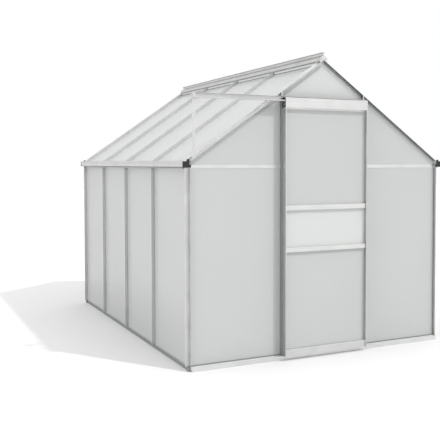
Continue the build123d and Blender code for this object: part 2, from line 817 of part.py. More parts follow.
slot_low = vent_seat + wall
vent_sheet = strip(top_edge + gap, vent_length - wall - gap, slot_low + gap / 2, slot_low + gap / 2 + sheet)
keep("vent_panel", vent_run(vent_sheet, vent_y[0] + wall + gap, vent_y[1] - wall - gap))

strap = strip(pivot_t - stay_length, pivot_t, stay_level - stay_thick / 2, stay_level + stay_thick / 2)
stay = vent_run(strap, vent_mid - stay_width / 2, vent_mid + stay_width / 2)
stay += vent_rod(pivot_t, stay_level, 2 * stay_pin, vent_mid - stay_half + gap, vent_mid + stay_half - gap)
stay -= vent_rod(pivot_t, stay_level, stay_pin + running_fit, vent_mid - bay / 2, vent_mid + bay / 2)
for i in range(stay_holes):
    place = roof_point(1, hinge_s - pivot_t + stay_length - (i + 0.5) * stay_pitch, stay_level, vent_mid)
    stay -= Plane(origin=place, z_dir=roof_out(1)) * Cylinder(stay_hole, 4 * stay_thick)
keep("vent_stay", stay)

# Slam bar that the vent shuts on, with the stay's peg, and the hinge pins on the ridge wing
slam_edge = vent_length - slam_width
slam_face = strip(slam_edge, slam_edge + wall, wall, slam_top)
slam_face += strip(slam_edge, vent_length, slam_top - wall, slam_top)
slam_face += strip(slam_edge, vent_length + slam_base, sheet_out + gap, sheet_out + gap + wall)
slam_seat = strip(slam_edge, vent_length + slam_base, 0, wall)
slam = vent_run(slam_face, vent_low + bead / 2 + gap, vent_high - bead / 2 - gap)
slam += vent_run(slam_seat, vent_low + seat_gap, vent_high - seat_gap)
peg_plane = Plane(origin=roof_point(1, hinge_s - slam_edge, peg_level, vent_mid), z_dir=roof_up(1))
slam += extrude(peg_plane * Circle(peg_radius), amount=peg_length)
keep("vent_slam_bar", slam)


def hinge_ear(y, towards):
    # A plate on the wing's lip with a stub pin into the vent's tube
    centre = roof_point(1, hinge_s, hinge_level, 0)
    plate_y = sorted((y, y - towards * ear_thick))
    plate = block((wing_reach, centre.X + hinge_tube), plate_y, (centre.Z - hinge_tube, centre.Z + hinge_tube))
    pin_y = sorted((y, y + towards * pin_length))
    return plate + vent_rod(0, hinge_level, hinge_pin, *pin_y)


keep("vent_hinge_pins", hinge_ear(vent_y[0] - gap, 1), hinge_ear(vent_y[1] + gap, -1))

os.makedirs("parts", exist_ok=True)
for name, solids in nodes.items():
    export_step(solids[0] if len(solids) == 1 else Compound(children=solids), f"parts/{name}.step")
print(len(nodes), "nodes,", sum(len(solids) for solids in nodes.values()), "solids")
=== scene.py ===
import math

import bmesh
import bpy
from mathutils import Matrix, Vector


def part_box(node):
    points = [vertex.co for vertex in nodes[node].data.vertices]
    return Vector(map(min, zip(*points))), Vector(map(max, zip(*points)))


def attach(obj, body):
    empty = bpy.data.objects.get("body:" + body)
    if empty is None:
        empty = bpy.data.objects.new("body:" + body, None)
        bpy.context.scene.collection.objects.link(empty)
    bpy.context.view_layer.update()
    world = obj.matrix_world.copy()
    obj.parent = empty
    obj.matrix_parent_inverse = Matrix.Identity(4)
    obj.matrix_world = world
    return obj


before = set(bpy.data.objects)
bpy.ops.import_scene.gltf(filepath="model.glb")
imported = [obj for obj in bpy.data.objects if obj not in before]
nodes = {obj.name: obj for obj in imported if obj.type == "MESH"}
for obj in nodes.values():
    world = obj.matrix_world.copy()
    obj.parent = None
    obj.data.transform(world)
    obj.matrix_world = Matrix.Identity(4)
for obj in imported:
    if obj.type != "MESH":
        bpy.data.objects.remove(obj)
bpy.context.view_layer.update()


def linear(hexColour):
    shares = [int(hexColour[i:i + 2], 16) / 255 for i in (1, 3, 5)]
    return [s / 12.92 if s <= 0.04045 else ((s + 0.055) / 1.055) ** 2.4 for s in shares] + [1.0]


def addNode(tree, kind, inputs=None, **settings):
    node = tree.nodes.new(kind)
    for name, value in settings.items():
        setattr(node, name, value)
    for name, value in (inputs or {}).items():
        if isinstance(value, bpy.types.NodeSocket):
            tree.links.new(value, node.inputs[name])
        else:
            node.inputs[name].default_value = value
    return node


def newMaterial(name):
    material = bpy.data.materials.new(name)
    material.use_nodes = True
    material.node_tree.nodes.clear()
    return material, material.node_tree


def paint(material, *names):
    for name in names:
        nodes[name].data.materials.clear()
        nodes[name].data.materials.append(material)


# Mill-finish extruded aluminium: the die draws fine lines along each bar, so it shines softly and a little streaky
aluminium = {
    # the four batches are one aluminium in lit and shaded copies: painted light makes the roof batch palest, painted
    # shade makes the bar batch darkest
    "rail": ("#dbdbda", "#cecfce"),     # pale and dull shade of the die lines
    "post": ("#d8d8d7", "#c9cac9"),
    "roof": ("#e3e3e2", "#d5d6d5"),
    "bar": ("#d2d2d1", "#c3c4c3"),
    "lineWidth": 0.006,     # die lines are under 0.5 mm, drawn coarser so that they show
    "lineLength": 0.9,
    "sheen": 0.33,          # roughness between the lines
    "dullSheen": 0.44,
    "lineRange": (0.3, 0.7),        # noise values that the sheen spans
    "cloudScale": 9.0,
    "shadeRange": (0.12, 0.42),     # and those that the shade spans
    "relief": 0.06,
    "reliefDepth": 0.0004,
    "slope": math.radians(35),
}


def extrudedAluminium(name, turn, paintedLightCopy):
    pale, dull = aluminium[paintedLightCopy]
    lineLow, lineHigh = aluminium["lineRange"]
    shadeLow, shadeHigh = aluminium["shadeRange"]
    material, tree = newMaterial("millFinishAluminium" + name)
    place = addNode(tree, "ShaderNodeTexCoord")
    along = addNode(tree, "ShaderNodeMapping", {
        "Vector": place.outputs["Object"], "Rotation": turn,
        "Scale": (aluminium["lineLength"], aluminium["lineWidth"], aluminium["lineWidth"])}, vector_type="TEXTURE")
    lines = addNode(tree, "ShaderNodeTexNoise", {
        "Vector": along.outputs["Vector"], "Scale": 1.0, "Detail": 3.0, "Roughness": 0.6})
    clouds = addNode(tree, "ShaderNodeTexNoise", {
        "Vector": place.outputs["Object"], "Scale": aluminium["cloudScale"], "Detail": 2.0})
    mixed = addNode(tree, "ShaderNodeMath", {
        0: lines.outputs["Fac"], 1: clouds.outputs["Fac"]}, operation="MULTIPLY")
    shade = addNode(tree, "ShaderNodeMapRange", {
        "Value": mixed.outputs[0], "From Min": shadeLow, "From Max": shadeHigh})
    colour = addNode(tree, "ShaderNodeMix", {
        "Factor": shade.outputs["Result"], 6: linear(dull), 7: linear(pale)}, data_type="RGBA")
    rough = addNode(tree, "ShaderNodeMapRange", {
        "Value": lines.outputs["Fac"], "From Min": lineLow, "From Max": lineHigh,
        "To Min": aluminium["dullSheen"], "To Max": aluminium["sheen"]})
    relief = addNode(tree, "ShaderNodeBump", {
        "Height": lines.outputs["Fac"], "Strength": aluminium["relief"], "Distance": aluminium["reliefDepth"]})
    metal = addNode(tree, "ShaderNodeBsdfPrincipled", {
        "Base Color": colour.outputs[2], "Metallic": 1.0, "Roughness": rough.outputs["Result"],
        "Normal": relief.outputs["Normal"]})
    addNode(tree, "ShaderNodeOutputMaterial", {"Surface": metal.outputs["BSDF"]})
    return material


upright = (0, math.radians(90), 0)
lengthwise = (0, 0, math.radians(90))
railsAcross = extrudedAluminium("RailsAcross", (0, 0, 0), "rail")
sillsAcross = extrudedAluminium("SillsAcross", (0, 0, 0), "roof")
trackAcross = extrudedAluminium("TrackAcross", (0, 0, 0), "bar")
railsAlong = extrudedAluminium("RailsAlong", lengthwise, "rail")
ridgeAlong = extrudedAluminium("RidgeAlong", lengthwise, "bar")
postsUpright = extrudedAluminium("PostsUpright", upright, "post")
barsUpright = extrudedAluminium("BarsUpright", upright, "bar")
upLeftSlope = extrudedAluminium("UpLeftSlope", (0, -aluminium["slope"], 0), "roof")
upRightSlope = extrudedAluminium("UpRightSlope", (0, aluminium["slope"], 0), "roof")
# painted light and shade: each piece takes the paler or darker copy that suits the way it faces, the darkest on the
# track, ridge, gutters and door stiles
paint(sillsAcross, "front_sill", "rear_sill")
paint(railsAcross, "gable_transoms", "door_header", "door_top_rail", "door_upper_mid_rail",
      "door_lower_mid_rail", "door_bottom_rail", "track_brackets")
paint(trackAcross, "door_track")
paint(railsAlong, "left_sill", "right_sill", "vent_top_rail", "vent_bottom_rail", "vent_slam_bar",
      "vent_hinge_pins")
paint(ridgeAlong, "ridge_bar", "left_gutter", "right_gutter")
paint(postsUpright, "front_left_corner_post", "front_right_corner_post", "rear_left_corner_post",
      "rear_right_corner_post", "wall_bars", "left_door_post", "right_door_post", "rear_gable_bars",
      "track_strut", "gusset_plates", "gable_braces")
paint(barsUpright, "door_left_stile", "door_right_stile")
paint(upLeftSlope, "left_roof_bars", "front_left_rafter", "rear_left_rafter")
paint(upRightSlope, "right_roof_bars", "front_right_rafter", "rear_right_rafter", "vent_side_rails", "vent_stay")

# Milky twin-wall polycarbonate, extruded: it glows with the light behind it, and its flutes show as faint lines
twinWall = {
    "milk": "#d0d2d1",
    "rib": "#c7c9c8",
    "whiterMilk": "#e0e2e1",    # whiter: the door's middle sheet, and the gables' top one, where it is painted light against the rafters' shade
    "whiterRib": "#d7d8d7",
    "roofLitMilk": "#d4d6d5",      # painted light: the roof's sheets are a little whiter, as they face up to the light
    "roofLitRib": "#cbcdcc",
    "fluteWidth": 0.012,        # flutes are 6 mm wide, drawn twice as wide so that they show
    "waveScale": math.pi / 10,  # makes one wave as wide as a flute
    "cloudScale": 2.2,
    "cloudRange": (0.3, 0.7),
    "gloss": (0.17, 0.27),      # roughness over that range
    "relief": 0.05,
    "reliefDepth": 0.0005,
    "through": 0.20,            # share of the light that passes a skin
    "index": 1.58,
    "topReach": 0.305,          # half width of the gables' top sheet
}


def twinWallSheet(name, across, milk, rib, topReach=0.0):
    cloudLow, cloudHigh = twinWall["cloudRange"]
    glossLow, glossHigh = twinWall["gloss"]
    material, tree = newMaterial("milkyPolycarbonate" + name)
    place = addNode(tree, "ShaderNodeTexCoord")
    flutes = addNode(tree, "ShaderNodeMapping", {
        "Vector": place.outputs["Object"], "Scale": [twinWall["fluteWidth"]] * 3}, vector_type="TEXTURE")
    wave = addNode(tree, "ShaderNodeTexWave", {
        "Vector": flutes.outputs["Vector"], "Scale": twinWall["waveScale"], "Distortion": 0.0},
        bands_direction=across)
    clouds = addNode(tree, "ShaderNodeTexNoise", {
        "Vector": place.outputs["Object"], "Scale": twinWall["cloudScale"], "Detail": 2.0})
    mixed = addNode(tree, "ShaderNodeMath", {
        0: wave.outputs["Fac"], 1: clouds.outputs["Fac"]}, operation="MULTIPLY")
    colour = addNode(tree, "ShaderNodeMix", {
        "Factor": mixed.outputs[0], 6: linear(milk), 7: linear(rib)}, data_type="RGBA")
    # within topReach of the middle, the whiter colour is painted light that offsets the shade the rafters cast on
    # the gables' top sheet
    if topReach:
        axes = addNode(tree, "ShaderNodeSeparateXYZ", {"Vector": place.outputs["Object"]})
        top = addNode(tree, "ShaderNodeMath", {0: axes.outputs["X"], 1: 0.0, 2: topReach}, operation="COMPARE")
        whiter = addNode(tree, "ShaderNodeMix", {
            "Factor": mixed.outputs[0], 6: linear(twinWall["whiterMilk"]), 7: linear(twinWall["whiterRib"])},
            data_type="RGBA")
        colour = addNode(tree, "ShaderNodeMix", {
            "Factor": top.outputs[0], 6: colour.outputs[2], 7: whiter.outputs[2]}, data_type="RGBA")
    rough = addNode(tree, "ShaderNodeMapRange", {
        "Value": clouds.outputs["Fac"], "From Min": cloudLow, "From Max": cloudHigh,
        "To Min": glossLow, "To Max": glossHigh})
    relief = addNode(tree, "ShaderNodeBump", {
        "Height": wave.outputs["Fac"], "Strength": twinWall["relief"], "Distance": twinWall["reliefDepth"]})
    skin = addNode(tree, "ShaderNodeBsdfPrincipled", {
        "Base Color": colour.outputs[2], "Roughness": rough.outputs["Result"], "IOR": twinWall["index"],
        "Normal": relief.outputs["Normal"]})
    glow = addNode(tree, "ShaderNodeBsdfTranslucent", {"Color": colour.outputs[2]})
    both = addNode(tree, "ShaderNodeMixShader", {
        0: twinWall["through"], 1: skin.outputs["BSDF"], 2: glow.outputs["BSDF"]})
    addNode(tree, "ShaderNodeOutputMaterial", {"Surface": both.outputs["Shader"]})
    return material


gableSheet = twinWallSheet("Gable", "X", twinWall["milk"], twinWall["rib"])
gableTopSheet = twinWallSheet("GableTop", "X", twinWall["milk"], twinWall["rib"], twinWall["topReach"])
sideSheet = twinWallSheet("Side", "Y", twinWall["milk"], twinWall["rib"])
whiterSheet = twinWallSheet("Whiter", "X", twinWall["whiterMilk"], twinWall["whiterRib"])
roofSheet = twinWallSheet("Roof", "Y", twinWall["roofLitMilk"], twinWall["roofLitRib"])
paint(gableSheet, "front_lower_panels", "rear_lower_panels", "door_upper_panel", "door_lower_panel")
paint(gableTopSheet, "front_gable_panels", "rear_gable_panels")
paint(whiterSheet, "door_middle_panel")
paint(sideSheet, "left_wall_panels", "right_wall_panels")
paint(roofSheet, "left_roof_panels", "right_roof_panels", "vent_panel")

# Moulded polypropylene: near black, with a fine spark-eroded grain that spreads its highlights
plastic = {
    "black": "#0f1010",
    "worn": "#181919",
    "grain": 0.0016,
    "gloss": (0.40, 0.54),      # roughness
    "relief": 0.12,
    "reliefDepth": 0.0003,
    "index": 1.49,
}


def mouldedPlastic():
    glossLow, glossHigh = plastic["gloss"]
    material, tree = newMaterial("mouldedPolypropylene")
    place = addNode(tree, "ShaderNodeTexCoord")
    fine = addNode(tree, "ShaderNodeMapping", {
        "Vector": place.outputs["Object"], "Scale": [plastic["grain"]] * 3}, vector_type="TEXTURE")
    grain = addNode(tree, "ShaderNodeTexNoise", {"Vector": fine.outputs["Vector"], "Scale": 1.0, "Detail": 2.0})
    colour = addNode(tree, "ShaderNodeMix", {
        "Factor": grain.outputs["Fac"], 6: linear(plastic["black"]), 7: linear(plastic["worn"])}, data_type="RGBA")
    rough = addNode(tree, "ShaderNodeMapRange", {
        "Value": grain.outputs["Fac"], "To Min": glossLow, "To Max": glossHigh})
    relief = addNode(tree, "ShaderNodeBump", {
        "Height": grain.outputs["Fac"], "Strength": plastic["relief"], "Distance": plastic["reliefDepth"]})
    skin = addNode(tree, "ShaderNodeBsdfPrincipled", {
        "Base Color": colour.outputs[2], "Roughness": rough.outputs["Result"], "IOR": plastic["index"],
        "Normal": relief.outputs["Normal"]})
    addNode(tree, "ShaderNodeOutputMaterial", {"Surface": skin.outputs["BSDF"]})
    return material


paint(mouldedPlastic(), "gutter_end_caps", "door_left_wheel", "door_right_wheel", "door_guides")

# Extruded EPDM rubber, and the foam and pile of the seals: matt, with a dusty bloom
rubber = {
    "black": ("#232424", "#3a3b3b"),    # colour and bloom
    "grey": ("#7c7e7f", "#919394"),
    "mid": ("#a2a4a5", "#b2b4b5"),
    "pale": ("#cfd1d1", "#dadcdc"),
    "pile": ("#8c8e8f", "#a0a2a3"),
    "bloomSize": 0.02,
    "gloss": (0.7, 0.9),        # roughness
    "relief": 0.1,
    "reliefDepth": 0.0005,
    "index": 1.52,
}


def sealRubber(name, colours):
    plain, dusty = colours
    glossLow, glossHigh = rubber["gloss"]
    material, tree = newMaterial(name)
    place = addNode(tree, "ShaderNodeTexCoord")
    spots = addNode(tree, "ShaderNodeMapping", {
        "Vector": place.outputs["Object"], "Scale": [rubber["bloomSize"]] * 3}, vector_type="TEXTURE")
    bloom = addNode(tree, "ShaderNodeTexNoise", {"Vector": spots.outputs["Vector"], "Scale": 1.0, "Detail": 4.0})
    colour = addNode(tree, "ShaderNodeMix", {
        "Factor": bloom.outputs["Fac"], 6: linear(plain), 7: linear(dusty)}, data_type="RGBA")
    rough = addNode(tree, "ShaderNodeMapRange", {
        "Value": bloom.outputs["Fac"], "To Min": glossLow, "To Max": glossHigh})
    relief = addNode(tree, "ShaderNodeBump", {
        "Height": bloom.outputs["Fac"], "Strength": rubber["relief"], "Distance": rubber["reliefDepth"]})
    skin = addNode(tree, "ShaderNodeBsdfPrincipled", {
        "Base Color": colour.outputs[2], "Roughness": rough.outputs["Result"], "IOR": rubber["index"],
        "Normal": relief.outputs["Normal"]})
    addNode(tree, "ShaderNodeOutputMaterial", {"Surface": skin.outputs["BSDF"]})
    return material


blackRubber = sealRubber("extrudedRubber", rubber["black"])
greyFoam = sealRubber("closedCellFoamGrey", rubber["grey"])
midFoam = sealRubber("closedCellFoamMid", rubber["mid"])
paleFoam = sealRubber("closedCellFoamPale", rubber["pale"])
brushPile = sealRubber("polypropylenePile", rubber["pile"])
paint(blackRubber, "door_buffer")
paint(brushPile, "door_seals")

# Zinc-plated steel: bright grey with a faint crystal pattern in its polish
zinc = {"bright": "#c3c6c8", "dull": "#a9acae", "crystal": 0.003, "gloss": (0.26, 0.40)}


def zincSteel():
    glossLow, glossHigh = zinc["gloss"]
    material, tree = newMaterial("zincPlatedSteel")
    place = addNode(tree, "ShaderNodeTexCoord")
    fine = addNode(tree, "ShaderNodeMapping", {
        "Vector": place.outputs["Object"], "Scale": [zinc["crystal"]] * 3}, vector_type="TEXTURE")
    cells = addNode(tree, "ShaderNodeTexVoronoi", {"Vector": fine.outputs["Vector"], "Scale": 1.0})
    colour = addNode(tree, "ShaderNodeMix", {
        "Factor": cells.outputs["Distance"], 6: linear(zinc["bright"]), 7: linear(zinc["dull"])}, data_type="RGBA")
    rough = addNode(tree, "ShaderNodeMapRange", {
        "Value": cells.outputs["Distance"], "To Min": glossLow, "To Max": glossHigh})
    metal = addNode(tree, "ShaderNodeBsdfPrincipled", {
        "Base Color": colour.outputs[2], "Metallic": 1.0, "Roughness": rough.outputs["Result"]})
    addNode(tree, "ShaderNodeOutputMaterial", {"Surface": metal.outputs["BSDF"]})
    return material


platedSteel = zincSteel()
paint(platedSteel, "frame_nuts", "door_wheel_axles")
print("finishes:", len(bpy.data.materials))


# Small pieces that repeat or follow a line: a node tree grows each one, and its result stays as a plain mesh
def newTree(name, sockets):
    tree = bpy.data.node_groups.new(name, "GeometryNodeTree")
    tree.interface.new_socket(name="Geometry", in_out="INPUT", socket_type="NodeSocketGeometry")
    for socket, kind in sockets.items():
        tree.interface.new_socket(name=socket, in_out="INPUT", socket_type="NodeSocket" + kind)
    tree.interface.new_socket(name="Geometry", in_out="OUTPUT", socket_type="NodeSocketGeometry")
    return tree, addNode(tree, "NodeGroupInput").outputs


def finishTree(tree, geometry, finish):
    whole = addNode(tree, "GeometryNodeRealizeInstances", {"Geometry": geometry})
    painted = addNode(tree, "GeometryNodeSetMaterial", {"Geometry": whole.outputs["Geometry"], "Material": finish})
    addNode(tree, "NodeGroupOutput", {"Geometry": painted.outputs["Geometry"]})


def grow(name, tree, sizes, points, edges=(), facing=()):
    base = bpy.data.meshes.new(name)
    base.from_pydata(points, edges, [])
    if facing:
        aim = base.attributes.new("facing", "FLOAT_VECTOR", "POINT")
        for i, direction in enumerate(facing):
            aim.data[i].vector = direction
    piece = bpy.data.objects.new(name, base)
    bpy.context.scene.collection.objects.link(piece)
    modifier = piece.modifiers.new(name, "NODES")
    modifier.node_group = tree
    for socket in tree.interface.items_tree:
        if socket.in_out == "INPUT" and socket.name in sizes:
            modifier[socket.identifier] = sizes[socket.name]
    grown = bpy.data.meshes.new_from_object(piece.evaluated_get(bpy.context.evaluated_depsgraph_get()))
    piece.modifiers.remove(modifier)
    shell = bmesh.new()
    shell.from_mesh(grown)
    bmesh.ops.recalc_face_normals(shell, faces=shell.faces)
    shell.to_mesh(grown)
    shell.free()
    piece.data = grown
    return piece


def settle(piece, body):
    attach(piece, body)


# A strip of rounded section swept along straight edges, its width level and its height upright
cornerSteps = 2
stripTree, given = newTree("stripRun", {
    "Width": "Float", "Height": "Float", "Corner": "Float", "Finish": "Material"})
edge = addNode(stripTree, "GeometryNodeMeshToCurve", {"Mesh": given["Geometry"]})
level = addNode(stripTree, "GeometryNodeSetCurveNormal", {"Curve": edge.outputs["Curve"]}, mode="Z_UP")
section = addNode(stripTree, "GeometryNodeCurvePrimitiveQuadrilateral", {
    "Width": given["Width"], "Height": given["Height"]})
rounded = addNode(stripTree, "GeometryNodeFilletCurve", {
    "Curve": section.outputs["Curve"], "Radius": given["Corner"], "Count": cornerSteps}, mode="POLY")
swept = addNode(stripTree, "GeometryNodeCurveToMesh", {
    "Curve": level.outputs["Curve"], "Profile Curve": rounded.outputs["Curve"], "Fill Caps": True})
finishTree(stripTree, swept.outputs["Mesh"], given["Finish"])

# A screw head on a washer at each point, turned to the way the point faces
screwForm = {"washerSides": 14, "headSteps": 2, "taper": 0.78}
screwTree, given = newTree("screwHeads", {
    "Sides": "Int", "Head Radius": "Float", "Head Height": "Float", "Washer Radius": "Float",
    "Washer Height": "Float", "Finish": "Material"})
washer = addNode(screwTree, "GeometryNodeMeshCone", {
    "Vertices": screwForm["washerSides"], "Radius Bottom": given["Washer Radius"],
    "Radius Top": given["Washer Radius"], "Depth": given["Washer Height"]})
taper = addNode(screwTree, "ShaderNodeMath", {
    0: given["Head Radius"], 1: screwForm["taper"]}, operation="MULTIPLY")
head = addNode(screwTree, "GeometryNodeMeshCone", {
    "Vertices": given["Sides"], "Side Segments": screwForm["headSteps"],
    "Radius Bottom": given["Head Radius"], "Radius Top": taper.outputs[0], "Depth": given["Head Height"]})
lift = addNode(screwTree, "ShaderNodeCombineXYZ", {"Z": given["Washer Height"]})
raised = addNode(screwTree, "GeometryNodeTransform", {
    "Geometry": head.outputs["Mesh"], "Translation": lift.outputs["Vector"]})
both = addNode(screwTree, "GeometryNodeJoinGeometry", {"Geometry": raised.outputs["Geometry"]})
screwTree.links.new(washer.outputs["Mesh"], both.inputs["Geometry"])
facing = addNode(screwTree, "GeometryNodeInputNamedAttribute", {"Name": "facing"}, data_type="FLOAT_VECTOR")
turned = addNode(screwTree, "FunctionNodeAlignRotationToVector", {
    "Vector": facing.outputs["Attribute"]}, axis="Z")
placed = addNode(screwTree, "GeometryNodeInstanceOnPoints", {
    "Points": given["Geometry"], "Instance": both.outputs["Geometry"], "Rotation": turned.outputs["Rotation"]})
finishTree(screwTree, placed.outputs["Instances"], given["Finish"])

# Tufts of pile along straight edges, each leaning its own way
tuftForm = {"sides": 5, "taper": 0.55}
pileTree, given = newTree("brushPile", {
    "Spacing": "Float", "Tuft Radius": "Float", "Tuft Length": "Float", "Lean": "Float", "Seed": "Int",
    "Finish": "Material"})
edge = addNode(pileTree, "GeometryNodeMeshToCurve", {"Mesh": given["Geometry"]})
roots = addNode(pileTree, "GeometryNodeResampleCurve", {
    "Curve": edge.outputs["Curve"], "Length": given["Spacing"]}, mode="LENGTH")
thin = addNode(pileTree, "ShaderNodeMath", {
    0: given["Tuft Radius"], 1: tuftForm["taper"]}, operation="MULTIPLY")
tuft = addNode(pileTree, "GeometryNodeMeshCone", {
    "Vertices": tuftForm["sides"], "Radius Bottom": given["Tuft Radius"], "Radius Top": thin.outputs[0],
    "Depth": given["Tuft Length"]})
back = addNode(pileTree, "ShaderNodeMath", {0: given["Lean"], 1: -1.0}, operation="MULTIPLY")
least = addNode(pileTree, "ShaderNodeCombineXYZ", {"X": back.outputs[0], "Y": 1.0, "Z": back.outputs[0]})
most = addNode(pileTree, "ShaderNodeCombineXYZ", {"X": given["Lean"], "Y": 1.0, "Z": given["Lean"]})
lean = addNode(pileTree, "FunctionNodeRandomValue", {
    0: least.outputs["Vector"], 1: most.outputs["Vector"], "Seed": given["Seed"]}, data_type="FLOAT_VECTOR")
turned = addNode(pileTree, "FunctionNodeAlignRotationToVector", {"Vector": lean.outputs[0]}, axis="Z")
placed = addNode(pileTree, "GeometryNodeInstanceOnPoints", {
    "Points": roots.outputs["Curve"], "Instance": tuft.outputs["Mesh"], "Rotation": turned.outputs["Rotation"]})
finishTree(pileTree, placed.outputs["Instances"], given["Finish"])

# Where the house's lines are, in metres
house = {
    "halfWidth": 0.915,     # wall lines
    "halfLength": 1.220,
    "apex": 1.87299,        # roof plane over the middle
    "slope": aluminium["slope"],
    "bay": 0.610,
    "sideBays": 4,
    "ventBay": 2,           # third from the front, on the right
}


def roofHeight(x, above):
    return house["apex"] - abs(x) * math.tan(house["slope"]) + above / math.cos(house["slope"])


def growStrip(name, strip, finish, pairs):
    points = [end for pair in pairs for end in pair]
    edges = [(i, i + 1) for i in range(0, len(points), 2)]
    return grow(name, stripTree, {
        "Width": strip["thick"], "Height": strip["height"], "Corner": strip["corner"], "Finish": finish},
        points, edges)


# Foam along the gable sheets' sloping edges: fillers under the rafters' flange, and gaskets, lower on the left. The
# gaskets are partly real gaskets and partly painted shade under the flanges, and the right side's filler and gasket
# take darker foam than the left's as painted shade.
vergeSpans = ((0.905, 0.309), (0.301, 0.012))      # each side of the gable posts
vergeFiller = {"height": 0.0130, "thick": 0.0060, "corner": 0.0012, "place": 1.2250}
leftGasket = {"height": 0.0130, "thick": 0.0034, "corner": 0.0012, "place": 1.2278}
rightGasket = {"height": 0.0090, "thick": 0.0034, "corner": 0.0012, "place": 1.2300}
vergeFoam = {       # side, level above the roof plane, section, finish
    "LeftFillers": (-1, 0.0092, vergeFiller, paleFoam),
    "LeftGaskets": (-1, -0.0085, leftGasket, midFoam),
    "RightFillers": (1, 0.0085, vergeFiller, midFoam),
    "RightGaskets": (1, 0.0115, rightGasket, greyFoam),
}
for name, (side, level, strip, finish) in vergeFoam.items():
    vergeRuns = [[(side * x, end * strip["place"], roofHeight(x, level)) for x in span]
                 for end in (-1, 1) for span in vergeSpans]
    settle(growStrip("verge" + name, strip, finish, vergeRuns), "frame")

# Grey gaskets at the foot of the gable sheets, on the sills' ledge
footGasket = {
    "thick": 0.0022, "height": 0.0050, "corner": 0.0006, "place": 1.2270, "middle": 0.0308,
    "outer": 0.912, "inner": 0.308,
    "rearHalf": 0.302,      # the rear's middle sheet
}
footSpans = [(end * footGasket["place"], side * footGasket["outer"], side * footGasket["inner"])
             for end in (-1, 1) for side in (-1, 1)]
footSpans.append((footGasket["place"], -footGasket["rearHalf"], footGasket["rearHalf"]))
footRuns = [[(x, y, footGasket["middle"]) for x in (start, stop)] for y, start, stop in footSpans]
settle(growStrip("footGaskets", footGasket, greyFoam, footRuns), "frame")

# Pale foam fillers under the ridge's wings with a grey lip over them, and seals under the gutters, bay by bay. The
# grey lip and the gutter seals are partly real seals and partly painted shade: their grey draws the dark lines where
# shade falls under the ridge's wings and under the gutters.
barClearance = 0.0042
filler = {"place": 0.0228, "thick": 0.0036, "height": 0.0240, "corner": 0.001, "middle": 0.0180}
fillerLip = {"place": 0.0257, "thick": 0.0020, "height": 0.0075, "corner": 0.0006, "middle": 0.0246}
gutterSeal = {"place": 0.9400, "thick": 0.0320, "height": 0.0058, "corner": 0.0015, "middle": 1.2066}


def bayRuns(x, z, vent):
    pairs = []
    for side in (-1, 1):
        for i in range(house["sideBays"]):
            if vent and side == 1 and i == house["ventBay"]:
                continue    # the roof vent's hinge takes this bay
            low = -house["halfLength"] + i * house["bay"] + barClearance
            high = low + house["bay"] - 2 * barClearance
            pairs.append([(side * x, low, z), (side * x, high, z)])
    return pairs


fillerRuns = bayRuns(filler["place"], roofHeight(filler["place"], filler["middle"]), True)
lipRuns = bayRuns(fillerLip["place"], roofHeight(fillerLip["place"], fillerLip["middle"]), True)
gutterRuns = bayRuns(gutterSeal["place"], gutterSeal["middle"], False)
settle(growStrip("ridgeFillers", filler, paleFoam, fillerRuns), "frame")
settle(growStrip("ridgeFillerLips", fillerLip, greyFoam, lipRuns), "frame")
settle(growStrip("gutterSeals", gutterSeal, midFoam, gutterRuns), "frame")

# Foam strip that seals the sills to the ground, in the recess under their ledge: partly a real seal, partly painted
# shade, its grey standing for the shade in that recess
groundSeal = {
    "thick": 0.004, "height": 0.0252, "corner": 0.001, "middle": 0.0130, "past": 0.0045,
    "frontEnd": -1.2025,
    "cornerGap": 0.005,
}
sideX = house["halfWidth"] + groundSeal["past"]
rearY = house["halfLength"] + groundSeal["past"]
sealEnds = (groundSeal["frontEnd"], rearY - groundSeal["cornerGap"])
sealRuns = [[(side * sideX, y, groundSeal["middle"]) for y in sealEnds] for side in (-1, 1)]
sealRuns.append([(end * (sideX - groundSeal["cornerGap"]), rearY, groundSeal["middle"]) for end in (-1, 1)])
settle(growStrip("groundSeals", groundSeal, greyFoam, sealRuns), "frame")

# Pale foam in the channel between the front sheets and the door's guide rail
sillFiller = {
    "thick": 0.0175, "height": 0.0235, "corner": 0.002, "place": -1.2377, "middle": 0.0143, "half": 0.9146,
}
sillRun = [(end * sillFiller["half"], sillFiller["place"], sillFiller["middle"]) for end in (-1, 1)]
settle(growStrip("sillFiller", sillFiller, paleFoam, [sillRun]), "frame")

# Brush pile on the door's two seals, which closes the gap to the posts
brush = {
    "spacing": 0.0042, "radius": 0.0011, "length": 0.0152, "lean": 0.05, "seed": 7,
    "root": -1.2652,
    "offsets": (0.0004, -0.0032),   # two rows, from the seal's outer face
    "endGap": 0.004,
}
low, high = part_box("door_seals")
pilePoints = [(side * (high[0] + offset), brush["root"], z)
              for side in (-1, 1) for offset in brush["offsets"]
              for z in (low[2] + brush["endGap"], high[2] - brush["endGap"])]
pileEdges = [(i, i + 1) for i in range(0, len(pilePoints), 2)]
pile = grow("doorBrushPile", pileTree, {
    "Spacing": brush["spacing"], "Tuft Radius": brush["radius"], "Tuft Length": brush["length"],
    "Lean": brush["lean"], "Seed": brush["seed"], "Finish": brushPile}, pilePoints, pileEdges)
settle(pile, "door")


# Slabs between two equal outlines each, with broken edges
def slabs(name, pairs, edgeBreak, finish):
    points, faces = [], []
    for near, far in pairs:
        first, count = len(points), len(near)
        points += near + far
        faces += [[first + i for i in range(count)], [first + count + i for i in range(count)]]
        faces += [[first + i, first + (i + 1) % count, first + count + (i + 1) % count, first + count + i]
                  for i in range(count)]
    mesh = bpy.data.meshes.new(name)
    mesh.from_pydata(points, [], faces)
    shell = bmesh.new()
    shell.from_mesh(mesh)
    bmesh.ops.recalc_face_normals(shell, faces=shell.faces)
    bmesh.ops.bevel(shell, geom=shell.edges[:], offset=edgeBreak, segments=1, affect="EDGES")
    shell.to_mesh(mesh)
    shell.free()
    mesh.materials.append(finish)
    piece = bpy.data.objects.new(name, mesh)
    bpy.context.scene.collection.objects.link(piece)
    return piece


